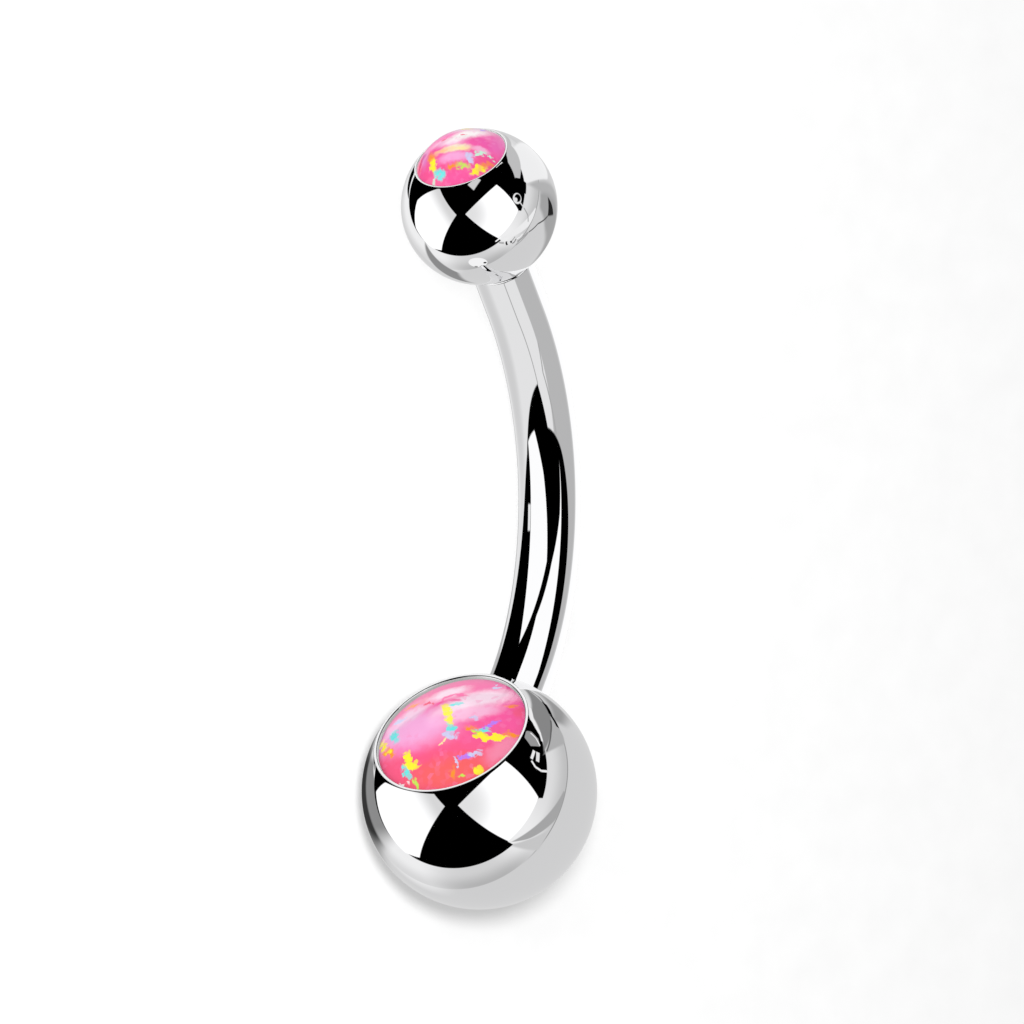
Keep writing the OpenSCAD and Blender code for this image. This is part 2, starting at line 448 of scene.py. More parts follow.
bar_outline += stretch(thread_top, bore_bottom, BORE_R, PITCH / 14, 1.0)
bar_outline += [(bore_bottom - DRILL_POINT, 0, 1.0)]

bar = turned_piece(
    "bent_bar", bar_outline, 96, TITANIUM, LAID_DOWN,
    **{"Bend Radius": BEND_R * MM, "Half Bend": HALF_BEND, "Thread Height": -0.035 * MM,
       "Thread Pitch": PITCH * MM, "Thread Start": bore_bottom * MM, "Thread End": thread_top * MM,
       "Thread Within": 0.66 * MM},
)

# %% [markdown]
# ## The two balls
# Both balls are turned from rod, and each has a round well for its stone. Once the stone is in,
# the thin wall left standing round it is burnished over: a narrow flat lip that shows as one
# bright line. The lower ball's lip stands a little above its stone, the upper one's barely.
# The upper ball and its threaded post are a single turning, so they are a single skin here,
# with a six-turn thread that the tree cuts from the post's plain outline.

# %% The balls' outlines
def ball_outline(ball_r, lip_out, lip_wall, well_floor, start, soft):
    """A ball from `start` degrees behind its stone round to the lip, then down into its well."""
    lip_angle = degrees(asin(lip_out / ball_r))
    lip_along = ball_r * cos(radians(lip_angle))
    seat = lip_out - lip_wall
    outline = arc(0, 0, ball_r, start, lip_angle + 1.2, 1.5)
    edge, inner = (lip_along, lip_out), (lip_along, seat)
    outline += soften(outline[-1], edge, inner, soft, 0.05)
    outline += [(lip_along, (lip_out + seat) / 2, 0.05)]
    outline += soften(edge, inner, (well_floor, seat), soft, 0.1)
    outline += stretch(lip_along - 3 * soft, well_floor, seat, 0.15, 0.8)
    return outline + [(well_floor, 0, 0.5)]


LOWER_LIP, LOWER_WALL, LOWER_RECESS, LOWER_BODY = 2.075, 0.085, 0.1, 0.85
UPPER_LIP, UPPER_WALL, UPPER_RECESS, UPPER_BODY = 1.24, 0.05, 0.02, 0.6
STONE_GAP = 0.01
lower_girdle = sqrt(LOWER_R ** 2 - LOWER_LIP ** 2) - LOWER_RECESS
upper_girdle = sqrt(UPPER_R ** 2 - UPPER_LIP ** 2) - UPPER_RECESS
lower_floor, upper_floor = lower_girdle - LOWER_BODY - STONE_GAP, upper_girdle - UPPER_BODY - STONE_GAP

lower_outline = ball_outline(LOWER_R, LOWER_LIP, LOWER_WALL, lower_floor, 180, 0.02)
lower_outline[0] = (-LOWER_R, 0, 0)
lower_ball = turned_piece("lower_ball", lower_outline, 192, TITANIUM, AT_LOWER)

POST_R, THREAD_DEPTH, POST_LENGTH, POST_FILLET = 0.575, 0.09, 1.5, 0.03
root = POST_R - THREAD_DEPTH
post_tip = -UPPER_R - POST_LENGTH
fillet_along = -sqrt((UPPER_R + POST_FILLET) ** 2 - (root + POST_FILLET) ** 2)
ball_start = 180 - degrees(asin((root + POST_FILLET) / (UPPER_R + POST_FILLET)))
upper_outline = [(post_tip, 0, 0.8), (post_tip, 0.2, 0.8)]
upper_outline += soften((post_tip, 0.3), (post_tip, root), (post_tip + 0.1, root), 0.04, 0.8)
upper_outline += stretch(post_tip + 0.05, -UPPER_R, root, PITCH / 16, 1.0)
upper_outline += arc(fillet_along, root + POST_FILLET, POST_FILLET, -90, ball_start - 180, 20, 0.2)[1:]
upper_outline += ball_outline(UPPER_R, UPPER_LIP, UPPER_WALL, upper_floor, ball_start - 1, 0.012)
upper_ball = turned_piece(
    "upper_ball_and_post", upper_outline, 160, TITANIUM, AT_UPPER,
    **{"Thread Height": THREAD_DEPTH * MM, "Thread Pitch": PITCH * MM, "Thread Start": post_tip * MM,
       "Thread End": -UPPER_R * MM, "Thread Within": 0.5 * MM},
)

# %% [markdown]
# ## The stones' shape
# Both stones are cabochons: a flat back with a small bevel, a straight side, and a polished
# dome. The lower dome is low and sits inside its lip; the upper one is fuller and hides the far
# side of its lip. A dome is a piece of a sphere, whose radius follows from width and height.

# %% The cabochon
BACK_BEVEL = 0.06


def cabochon(name, stone_r, girdle, body, dome, place, finish):
    dome_r = (stone_r ** 2 + dome ** 2) / (2 * dome)
    centre = girdle + dome - dome_r
    edge_angle = degrees(asin(stone_r / dome_r))
    back = girdle - body
    outline = [(back, 0, 0), (back, stone_r * 0.6, 0), (back, stone_r - BACK_BEVEL, 0)]
    outline += stretch(back + BACK_BEVEL, girdle - 0.05, stone_r, 0.2)
    crown = arc(centre, 0, dome_r, edge_angle - 1.5, 0, 0.6)
    outline += soften(outline[-1], (girdle, stone_r), crown[0], 0.02)
    crown[-1] = (centre + dome_r, 0, 0)
    return turned_piece(name, outline + crown, 144, finish, place)


# %% [markdown]
# ## Pink opal
# Lab-grown opal is a hot pink body, more coral at one side and pale lilac at the other, with
# sharp flecks of spectral colour: lemon, aqua, violet, orange. Flecks are the grains of its
# silica, so they have broken, angular edges. A plain Voronoi texture scatters them evenly, which
# looks like confetti. Here each is a short stroke in a table: two end points, a width, a colour
# and a softness, on a chart of the stone's face counted in stone radii. Two small white strokes
# near the lower stone's lip are painted glints. The chart itself is shaken: each Voronoi cell
# slides a little its own way and a noise ripples it, so the strokes break up at cell borders just
# as grains do. Under them lie broader and softer strokes: the pink and coral ones are the opal's
# own tones, and the pale ones are partly its milky tone and partly painted sheen, the soft
# reflection of light on the dome. The chart comes from Object coordinates, moved and turned by
# plain dot products, so it stays with the stone.

# %% Colours and strokes
LEMON, AQUA, LILAC, ORANGE, VIOLET, LIME, RED, CREAM, MINT, PEACH = map(
    paint, "fff23c 6fe8e6 cfd0f2 ff9838 b585ff c2ee5c f04a70 ffeaa8 c8f4dc ffc894".split())
CORAL, ROSE, BLUSH, PINK, FUCHSIA, MAUVE, ORCHID, SHELL, MIST, PEARL, SNOW, IVORY = map(
    paint, "f86868 f86088 f890b0 fc60a4 f46cbc e888c8 f8b0e0 fcc0e0 f0d4e8 fce0f0 fff8f8 f8f0d8".split())
LOWER_STROKES = [
    (-0.03, 0.33, 0.00, 0.24, 0.045, LEMON, 0.2), (0.02, 0.24, 0.06, -0.06, 0.055, LEMON, 0.15),
    (0.05, 0.33, 0.18, 0.28, 0.035, AQUA, 0.3), (0.04, -0.10, 0.07, -0.17, 0.045, AQUA, 0.3),
    (0.00, -0.23, 0.10, -0.29, 0.055, LILAC, 0.2), (0.00, -0.31, -0.09, -0.36, 0.02, CREAM, 0.3),
    (-0.56, -0.32, -0.54, -0.47, 0.05, LEMON, 0.2), (-0.53, -0.49, -0.43, -0.56, 0.05, LEMON, 0.2),
    (-0.59, -0.53, -0.55, -0.65, 0.055, AQUA, 0.25), (-0.48, -0.75, -0.46, -0.83, 0.03, LIME, 0.4),
    (-0.73, 0.42, -0.63, 0.40, 0.04, LILAC, 0.4), (-0.76, 0.20, -0.72, 0.04, 0.055, AQUA, 0.3),
    (-0.97, 0.16, -0.91, 0.04, 0.045, LEMON, 0.4), (-0.87, -0.06, -0.77, -0.17, 0.05, ORANGE, 0.3),
    (-0.84, -0.10, -0.79, -0.14, 0.03, LEMON, 0.4), (-0.55, 0.64, -0.43, 0.64, 0.035, ORANGE, 0.5),
    (-0.28, 0.52, -0.22, 0.49, 0.028, RED, 0.4), (0.50, -0.21, 0.67, -0.14, 0.026, VIOLET, 0.3),
    (0.43, -0.25, 0.54, -0.26, 0.032, AQUA, 0.3), (0.37, -0.29, 0.45, -0.30, 0.025, LIME, 0.4),
    (0.40, -0.33, 0.60, -0.40, 0.045, LEMON, 0.15), (0.58, -0.37, 0.74, -0.38, 0.045, LEMON, 0.15),
    (0.29, -0.20, 0.35, -0.22, 0.045, ORANGE, 0.6), (0.19, -0.62, 0.32, -0.60, 0.032, VIOLET, 0.3),
    (0.32, -0.59, 0.42, -0.61, 0.036, LILAC, 0.3), (0.11, -0.64, 0.11, -0.72, 0.03, LILAC, 0.2),
    (0.79, -0.32, 0.87, -0.35, 0.045, ORANGE, 0.3), (0.77, 0.15, 0.89, 0.19, 0.03, ORANGE, 0.5),
    (0.36, -0.02, 0.40, -0.04, 0.032, LILAC, 0.4), (0.60, 0.63, 0.69, 0.63, 0.024, LILAC, 0.5),
    (0.35, -0.81, 0.39, -0.86, 0.04, LEMON, 0.3), (0.04, -0.78, 0.04, -0.85, 0.03, ORANGE, 0.6),
    # The last two strokes, in SNOW, are painted glints: small highlights near the lower stone's lip
    (0.14, -0.88, 0.18, -0.89, 0.02, LIME, 0.5), (-0.68, -0.70, -0.66, -0.72, 0.018, SNOW, 0.5),
    (-0.60, -0.74, -0.58, -0.76, 0.018, SNOW, 0.5),
]
UPPER_STROKES = [
    (-0.43, -0.20, -0.10, -0.26, 0.05, PEACH, 1.0), (0.04, -0.29, 0.26, -0.33, 0.05, CREAM, 1.0),
    (-0.58, -0.16, -0.54, -0.34, 0.07, ORANGE, 1.0), (-0.53, -0.36, -0.53, -0.55, 0.075, LEMON, 0.3),
    (-0.49, -0.66, -0.36, -0.74, 0.085, AQUA, 0.3), (-0.55, -0.70, -0.63, -0.82, 0.04, MINT, 0.4),
    (-0.17, -0.67, -0.03, -0.68, 0.045, ORANGE, 0.7), (0.06, -0.70, 0.20, -0.73, 0.065, LIME, 0.4),
    (0.27, -0.50, 0.32, -0.63, 0.07, LILAC, 0.3), (0.46, -0.50, 0.58, -0.44, 0.06, MINT, 0.3),
    (0.32, -0.83, 0.54, -0.76, 0.06, LEMON, 0.3), (0.56, -0.69, 0.73, -0.64, 0.055, ORANGE, 0.5),
    (0.70, -0.48, 0.75, -0.52, 0.02, MINT, 0.3), (0.18, 0.14, 0.26, 0.13, 0.03, RED, 0.5),
    (-0.26, 0.14, -0.18, 0.14, 0.03, RED, 0.6), (-0.45, 0.50, -0.30, 0.62, 0.06, AQUA, 0.3),
    (0.15, 0.55, 0.32, 0.50, 0.06, LEMON, 0.3), (0.55, 0.42, 0.60, 0.55, 0.05, VIOLET, 0.4),
]
print("strokes:", len(LOWER_STROKES), "on the lower stone,", len(UPPER_STROKES), "on the upper")

# %% The opal's shader
# The camera's own axes in the part's frame: to the right, upwards, and towards the lens
VIEW_RIGHT, VIEW_UP, VIEW_FRONT = map(
    Vector, ((0.7793, 0.0419, 0.62525), (-0.02654, 0.99907, -0.03387), (-0.62609, 0.0098, 0.77969)))


def pink_opal(name, place, stone_r, strokes, body_tones, veils_and_sheen):
    material, tree = new_material(name)
    where = Wire.node(tree, "ShaderNodeTexCoord", output="Object")
    axis = (place.to_3x3() @ Vector((0, 1, 0))).normalized()
    across = (VIEW_RIGHT - axis * axis.dot(VIEW_RIGHT)).normalized()
    up = axis.cross(across)
    centre = place.translation * MM
    flat = Wire.node(tree, "ShaderNodeCombineXYZ", inputs={
        0: (where.dot(across) - across.dot(centre)) / (stone_r * MM),
        1: (where.dot(up) - up.dot(centre)) / (stone_r * MM),
    })
    grains = Wire.node(tree, "ShaderNodeTexVoronoi", {"voronoi_dimensions": "2D"},
                       {"Vector": flat, "Scale": 16.0}, "Color")
    ripple = Wire.node(tree, "ShaderNodeTexNoise", {"noise_dimensions": "2D"},
                       {"Vector": flat, "Scale": 9.0, "Detail": 3.0}, "Color")

    def moved(chart, pattern, amount):
        """The chart, with each point moved its own way by a pattern's colour."""
        inputs = {0: pattern.vector("SUBTRACT", (0.5, 0.5, 0.5)), 1: (amount, amount, 0), 2: chart}
        return Wire.node(tree, "ShaderNodeVectorMath", {"operation": "MULTIPLY_ADD"}, inputs)

    shaken = moved(moved(flat, grains, 0.05), ripple, 0.10)
    drifted = moved(flat, ripple, 0.10)

    def stroke(x0, y0, x1, y1, width, source):
        """1 in the middle of a stroke, more outside it, as a distance counted in its own size."""
        inputs = {"Vector": source, "Location": ((x0 + x1) / 2, (y0 + y1) / 2, 0),
                  "Rotation": (0, 0, atan2(y1 - y0, x1 - x0)),
                  "Scale": (hypot(x1 - x0, y1 - y0) / 2 + width, width, 1)}
        local = Wire.node(tree, "ShaderNodeMapping", {"vector_type": "TEXTURE"}, inputs)
        return local.vector("LENGTH", output=1)

    smoke = Wire.node(tree, "ShaderNodeTexNoise", {"noise_dimensions": "2D"},
                      {"Vector": flat, "Scale": 2.3, "Detail": 3.0, "Distortion": 0.6})
    height = flat.dot((0.35, 1.0, 0.0))
    body = (height * 0.6 + smoke).ramp(-0.1, 0.9).blend(body_tones[0], body_tones[1])
    # The pale strokes among these are partly painted sheen, the dome's soft reflection of light
    for x0, y0, x1, y1, width, tone, strength in veils_and_sheen:
        veil_and_sheen = (stroke(x0, y0, x1, y1, width, drifted) + smoke * 0.4).ramp(1.6, 0.6) * strength
        body = veil_and_sheen.blend(body, tone)
    grain_tone = grains.dot((0.4, 0.3, 0.3))
    body = ((grain_tone - 0.5).ramp(0.05, 0.5) * 0.4).blend(body, body_tones[2])
    colour = body
    fire = 0.66 + 0.34 * (grain_tone + smoke * 0.5).ramp(0.45, 0.85)
    # Flecks, and on the lower stone two painted glints, laid over the body
    for x0, y0, x1, y1, width, tone, softness in strokes:
        fleck_and_glint = stroke(x0, y0, x1, y1, width, shaken).ramp(1.0 + softness, 1.0 - min(0.9, softness))
        colour = (fleck_and_glint * fire).blend(colour, tone)
    haze = Wire.node(tree, "ShaderNodeTexNoise", inputs={"Vector": where, "Scale": 4200.0, "Detail": 2.0})
    bump = Wire.node(tree, "ShaderNodeBump", inputs={"Strength": 0.2, "Distance": 2e-6, "Height": haze})
    finish_material(tree, {
        "Base Color": colour, "Metallic": 0.0, "Roughness": 0.22 + 0.12 * haze, "Normal": bump,
        "Specular IOR Level": 0.0, "Coat Weight": 1.0, "Coat Roughness": 0.02, "Coat IOR": 1.45,
    })
    return material


# %% Veiling strokes, partly painted sheen, and both stones
LOWER_STONE_R, UPPER_STONE_R = 1.98, 1.18
LOWER_DOME, UPPER_DOME = 0.5, 0.59
# Broad strokes under the flecks: pink and coral ones are the opal's own tones, pale ones are partly its
# milky tone and partly painted sheen, the soft reflection of light on the dome
LOWER_VEILS_AND_SHEEN = [
    (-0.35, -0.75, 0.40, -0.82, 0.22, CORAL, 0.95), (-0.92, -0.25, -0.72, -0.50, 0.15, ROSE, 0.90),
    (0.60, -0.65, 0.84, -0.45, 0.13, BLUSH, 0.90), (0.55, -0.05, 0.82, -0.12, 0.17, PINK, 0.85),
    (-0.78, -0.14, -0.42, -0.28, 0.08, PINK, 0.80), (-0.78, 0.18, -0.18, 0.00, 0.38, ORCHID, 0.98),
    (-0.66, 0.36, -0.36, 0.45, 0.15, MIST, 0.75), (-0.52, 0.66, -0.26, 0.66, 0.10, BLUSH, 0.80),
    (-0.15, 0.62, 0.12, 0.64, 0.14, PEARL, 0.95), (0.02, 0.26, 0.70, 0.40, 0.20, PEARL, 0.98),
    (0.12, 0.04, 0.60, 0.10, 0.13, SHELL, 0.92), (0.93, 0.10, 0.93, 0.02, 0.08, ROSE, 0.85),
    (-0.11, 0.39, -0.05, 0.51, 0.03, PINK, 0.90), (-0.04, 0.52, 0.08, 0.56, 0.03, PINK, 0.90),
    (0.08, 0.56, 0.26, 0.47, 0.03, PINK, 0.90), (0.05, 0.43, 0.18, 0.38, 0.025, PINK, 0.80),
]
UPPER_VEILS_AND_SHEEN = [
    (-0.32, -0.88, 0.30, -0.90, 0.12, PINK, 0.95), (0.80, -0.28, 0.93, 0.10, 0.13, FUCHSIA, 0.90),
    (-0.88, 0.00, -0.93, -0.25, 0.09, ROSE, 0.90), (-0.70, 0.12, -0.74, -0.22, 0.11, MAUVE, 0.85),
    (-0.30, -0.44, 0.24, -0.52, 0.12, ORCHID, 0.90), (-0.42, 0.09, 0.12, -0.09, 0.14, SHELL, 0.90),
    (0.10, 0.50, 0.55, 0.55, 0.22, MIST, 0.85), (-0.02, 0.05, 0.54, 0.26, 0.19, SNOW, 1.0),
    (-0.28, -0.23, 0.27, -0.29, 0.10, IVORY, 0.95), (0.44, -0.32, 0.64, -0.38, 0.08, SHELL, 0.85),
]
lower_opal = pink_opal(
    "pink_opal_lower", AT_LOWER, LOWER_STONE_R, LOWER_STROKES,
    (paint("f85c80"), paint("fa64a8"), paint("fc8cc0")), LOWER_VEILS_AND_SHEEN,
)
upper_opal = pink_opal(
    "pink_opal_upper", AT_UPPER, UPPER_STONE_R, UPPER_STROKES,
    (paint("f85c98"), paint("fa68b8"), paint("fc94ce")), UPPER_VEILS_AND_SHEEN,
)
lower_stone = cabochon(
    "lower_opal", LOWER_STONE_R, lower_girdle, LOWER_BODY, LOWER_DOME, AT_LOWER, lower_opal)
upper_stone = cabochon(
    "upper_opal", UPPER_STONE_R, upper_girdle, UPPER_BODY, UPPER_DOME, AT_UPPER, upper_opal)

# %% [markdown]
# ## Riding on the frame
# Each piece is tied to the CAD body that it moves with, and the CAD node that it stands for is
# hidden. The lower ball and the bar both stand for the one welded solid. When the joint slides,
# the upper ball, its post and its stone lift off together.

# %% Bodies and replaced nodes
for piece, body, node, slot in (
    (bar, "bar", "curved_bar", "polished_titanium"),
    (lower_ball, "bar", "curved_bar", "polished_titanium"),
    (lower_stone, "bar", "lower_stone", "pink_opal"),
    (upper_ball, "screw_end", "upper_ball", "polished_titanium"),
    (upper_stone, "screw_end", "upper_stone", "pink_opal"),
):
    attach(piece, body)
    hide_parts(node)
    low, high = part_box(node)
    size = [round((end - start) / MM, 2) for start, end in zip(low, high)]
    print(f"{piece.name} rides on {body}; {node} measures {size} mm")

# %% [markdown]
# ## The table
# Small shiny things are shot on a light table: opal acrylic, lit from below. Its glow fills in
# most of the shadow, so only a soft trace of it stays. The floor is a Principled surface that
# is part grey and part glow, and it glows more further out, where the lamps don't reach, so
# that the table stays white up to the horizon. Mirrors don't see it: they have their own tents.

# %% A pale floor
def light_table():
    material, tree = new_material("light_table")
    where = Wire.node(tree, "ShaderNodeTexCoord", output="Object")
    haze = Wire.node(tree, "ShaderNodeTexNoise", inputs={"Vector": where, "Scale": 900.0, "Detail": 4.0})
    far = where.vector("LENGTH", output=1).ramp(0.02, 0.12)
    near_glow = haze.blend(paint("b1b1b1"), paint("b5b5b5"))
    finish_material(tree, {
        "Base Color": haze.blend(paint("a2a2a2"), paint("a8a8a8")),
        "Roughness": 0.8, "Specular IOR Level": 0.0,
        "Emission Color": far.blend(near_glow, paint("ffffff")), "Emission Strength": 0.78,
    })
    return material


FLOOR_HALF = 0.4
corners = [(x * FLOOR_HALF, y * FLOOR_HALF, 0) for x, y in ((-1, -1), (1, -1), (1, 1), (-1, 1))]
sheet = bpy.data.meshes.new("floor")
sheet.from_pydata(corners, [], [(0, 1, 2, 3)])
sheet.materials.append(light_table())
floor = new_object("floor", sheet)
floor.visible_glossy = False
print("floor, m:", 2 * FLOOR_HALF)

# %% [markdown]
# ## A studio to reflect
# A mirror has no look of its own: what makes polished metal read as metal is black next to
# white. Jewellery is shot in a light tent with a wide dark opening towards the lens, and two
# softboxes stand in that opening. A tent here is a huge sphere that only mirror rays see. Its
# shader paints layers over a plain brightness, from back to front. A layer is a cone round one
# direction, a patch with straight sides, or a thin streak: each side is a flat plane through the
# ring, so a product of soft steps gives the shape. Directions are (right, up, towards the lens).

# %% Layers of light
STUDIO = Matrix((VIEW_RIGHT, VIEW_UP, VIEW_FRONT)).transposed()


def towards(look, direction):
    """How far a look direction points this way, from -1 to 1."""
    return look.dot((STUDIO @ Vector(direction)).normalized())


def cone(look, axis, half_angle, softness):
    """1 inside a cone round the axis. Angles are in degrees."""
    outer, inner = cos(radians(half_angle + softness)), cos(radians(half_angle - softness))
    return towards(look, axis).ramp(outer, inner)


def patch(look, corners, softness, inside=None):
    """1 inside the patch. The sides close up, or run open round a direction that is inside.
    The softness, in degrees, is one number or one for each side."""
    middle = Vector(inside) if inside else sum((Vector(c).normalized() for c in corners), Vector())
    ends = corners[1:] if inside else corners[1:] + corners[:1]
    softs = softness if isinstance(softness, list) else [softness] * len(ends)
    mask = None
    for here, after, soft in zip(corners, ends, softs):
        plane = Vector(here).cross(Vector(after)).normalized()
        plane = plane if plane.dot(middle) > 0 else -plane
        step = towards(look, plane).ramp(-radians(soft) / 2, radians(soft) / 2)
        mask = step if mask is None else mask * step
    return mask


def streak(look, start, end, half_width):
    """A thin strip along the shortest way between two directions. The width is in degrees."""
    first, last = Vector(start).normalized(), Vector(end).normalized()
    side = first.cross(last).normalized()
    edge, soft = sin(radians(half_width)), 0.006
    mask = towards(look, side).maths("ABSOLUTE").ramp(edge + soft, edge - soft)
    for end_plane in (side.cross(first), last.cross(side)):
        mask = mask * towards(look, end_plane).ramp(-soft, soft)
    return mask


def over(light, mask, brightness):
    """A layer on top of the light so far."""
    return light * (1 - mask) + mask * brightness


# %% [markdown]
# ## A tent for each ball and one for the bar
# Catalogue pictures of jewellery are put together from several exposures, each lit to flatter
# one part. Light linking does the same in one render: each tent shines only on the pieces in
# its receiver collection, and is clear as air to all others, since its shader adds glow to
# Transparent. The two balls share their large shapes: a dark opening, a little over half
# of all directions, a white wall round it, grey at the back, and a softbox at either side.
# Each has small panels of its own, in two tables: those that stand behind the opening's edge,
# and those that stand in front of it. The smallest reflections, such as curls, thin lines and
# the other ball's image, are streaks and discs, painted last. In the bar's tent the opening is
# turned down along the bar, so that its upper third stays pale and the black starts in a point.

# %% The balls' panels
# Each row: a patch's corners, the softness of its sides in degrees, and its brightness
LOWER_BEHIND = (
    ([(-0.671, 0.167, -0.722), (-0.801, 0.067, -0.595), (-0.856, -0.052, -0.515), (-0.876, -0.214, -0.433),
      (-0.83, -0.44, -0.33), (-0.172, -0.14, -0.977), (-0.17, 0.06, -0.98)], [1, 1, 1, 2, 14, 4, 4], 0.30),
    ([(-0.17, 0.06, -0.98), (-0.48, 0.14, -0.86), (-0.56, 0.0, -0.83), (-0.62, -0.2, -0.76),
      (-0.62, -0.36, -0.69), (-0.15, -0.11, -0.98)], 8, 0.04),
    ([(0.206, 0.352, -0.913), (0.633, 0.591, -0.5), (0.62, 0.45, -0.64), (0.32, 0.227, -0.92)], 6, 0.36),
    ([(0.425, -0.757, 0.497), (0.677, -0.644, 0.355), (0.866, -0.484, 0.124), (0.701, -0.712, 0.043)],
     3, 0.66),
)
LOWER_FRONT = (
    ([(0.204, 0.483, -0.851), (0.63, 0.59, -0.50), (0.843, 0.509, 0.174), (0.545, 0.797, -0.261)], 2, 0.28),
    ([(0.596, 0.591, -0.543), (0.753, 0.469, -0.462), (0.818, 0.432, -0.38), (0.851, 0.486, 0.198),
      (0.808, 0.579, -0.109)], 2, 0.50),
    ([(0.597, 0.784, 0.167), (0.647, 0.759, 0.077), (0.743, 0.663, 0.087), (0.795, 0.581, 0.175),
      (0.714, 0.626, 0.314), (0.625, 0.73, 0.277)], 0.8, 0.36),
)
UPPER_BEHIND = (
    ([(0.12, 0.20, -0.97), (0.42, 0.75, -0.47), (0.69, 0.70, -0.05), (0.85, 0.50, 0.17), (0.88, 0.44, 0.10),
      (0.631, 0.289, -0.72)], 2, 1.0),
    ([(0.874, 0.452, 0.176), (0.657, 0.289, -0.697), (0.167, 0.043, -0.985), (0.445, 0.03, -0.893),
      (0.90, 0.163, -0.40)], 6, 0.52),
    ([(0.93, 0.26, -0.25), (0.45, 0.08, -0.89), (0.08, -0.03, -0.99), (0.25, -0.22, -0.94),
      (0.80, -0.25, -0.55), (0.985, 0.0, -0.17)], 7, 0.42),
    ([(0.827, 0.151, -0.541), (0.702, 0.058, -0.71), (0.598, -0.025, -0.801), (0.833, -0.082, -0.547)],
     1.5, 0.02),
    ([(-0.80, -0.48, -0.35), (-0.562, -0.672, -0.482), (-0.257, -0.776, -0.576), (-0.026, -0.376, -0.926),
      (-0.21, -0.42, -0.88), (-0.521, -0.487, -0.701)], 4, 0.30),
)
UPPER_FRONT = (
    ([(0.10, 0.41, -0.90), (0.42, 0.80, -0.43), (0.40, 0.91, -0.10)], 1, 0.60),
    ([(0.38, 0.77, -0.51), (0.799, 0.557, 0.228), (0.736, 0.583, 0.344), (0.539, 0.832, 0.133),
      (0.398, 0.898, -0.187)], 1, 0.60),
    ([(0.732, 0.595, 0.331), (0.813, 0.546, 0.201), (0.882, 0.455, 0.123), (0.933, 0.251, 0.257),
      (0.85, 0.35, 0.40)], 1, 0.0),
    ([(-0.27, 0.50, 0.822), (-0.131, 0.38, 0.916), (0.04, 0.61, 0.79), (-0.10, 0.70, 0.70)], 1.5, 0.72),
    ([(0.431, -0.777, 0.459), (0.532, -0.756, 0.381), (0.522, -0.788, 0.327), (0.431, -0.801, 0.415)],
     1, 0.5),
)
print("panels:", len(LOWER_BEHIND + LOWER_FRONT), "round the lower ball,",
      len(UPPER_BEHIND + UPPER_FRONT), "round the upper")

# %% Their softboxes, by corners
SOFTBOX_FOOT = [(-0.86, -0.03, -0.51), (-0.731, -0.622, -0.282), (-0.658, -0.747, -0.092)]
LOWER_SOFTBOX = [
    (-0.542, -0.221, 0.811), (-0.697, -0.027, 0.716), (-0.918, 0.047, 0.393), (-0.991, 0.08, -0.107),
    (-0.961, 0.07, -0.269), (-0.924, 0.031, -0.381), *SOFTBOX_FOOT,
]
UPPER_SOFTBOX = [
    (-0.546, -0.218, 0.809), (-0.828, 0.369, 0.421), (-0.945, 0.314, -0.10), (-0.965, 0.12, -0.235),
    *SOFTBOX_FOOT,
]
RIGHT_SOFTBOX = [
    (-0.34, -0.209, 0.917), (0.412, 0.503, 0.76), (0.862, -0.082, 0.501), (0.426, -0.715, 0.555),
]

# %% Streaks and discs, for the smallest reflections
# Each row: a chain of directions, half the streak's width in degrees, and its brightness
LOWER_STREAKS = (
    ([(0.383, 0.764, -0.519), (0.479, 0.787, -0.389)], 0.7, 0.9),
    ([(0.479, 0.787, -0.389), (0.582, 0.793, -0.181), (0.661, 0.746, -0.076), (0.732, 0.681, -0.016)],
     1.4, 1.0),
    ([(0.732, 0.681, -0.016), (0.787, 0.614, 0.062)], 0.9, 1.0),
    ([(0.251, 0.495, -0.832), (0.324, 0.489, -0.81), (0.414, 0.533, -0.738)], 0.6, 0.12),
    ([(0.414, 0.533, -0.738), (0.57, 0.579, -0.583), (0.691, 0.536, -0.485)], 1.3, 0.0),
    ([(0.639, 0.609, -0.471), (0.758, 0.604, -0.247), (0.858, 0.502, 0.112)], 0.6, 0.14),
    ([(0.609, 0.783, 0.13), (0.661, 0.747, 0.073), (0.743, 0.663, 0.087)], 0.6, 0.0),
    ([(0.659, 0.742, 0.12), (0.729, 0.674, 0.122), (0.791, 0.589, 0.164)], 0.6, 1.0),
    ([(0.761, 0.449, 0.468), (0.813, 0.357, 0.46), (0.875, 0.29, 0.387), (0.921, 0.269, 0.282)], 0.9, 1.0),
    ([(0.763, 0.565, 0.32), (0.757, 0.475, 0.45)], 1.3, 1.0),
    ([(0.80, 0.53, 0.28), (0.82, 0.42, 0.38)], 1.7, 0.9),
)
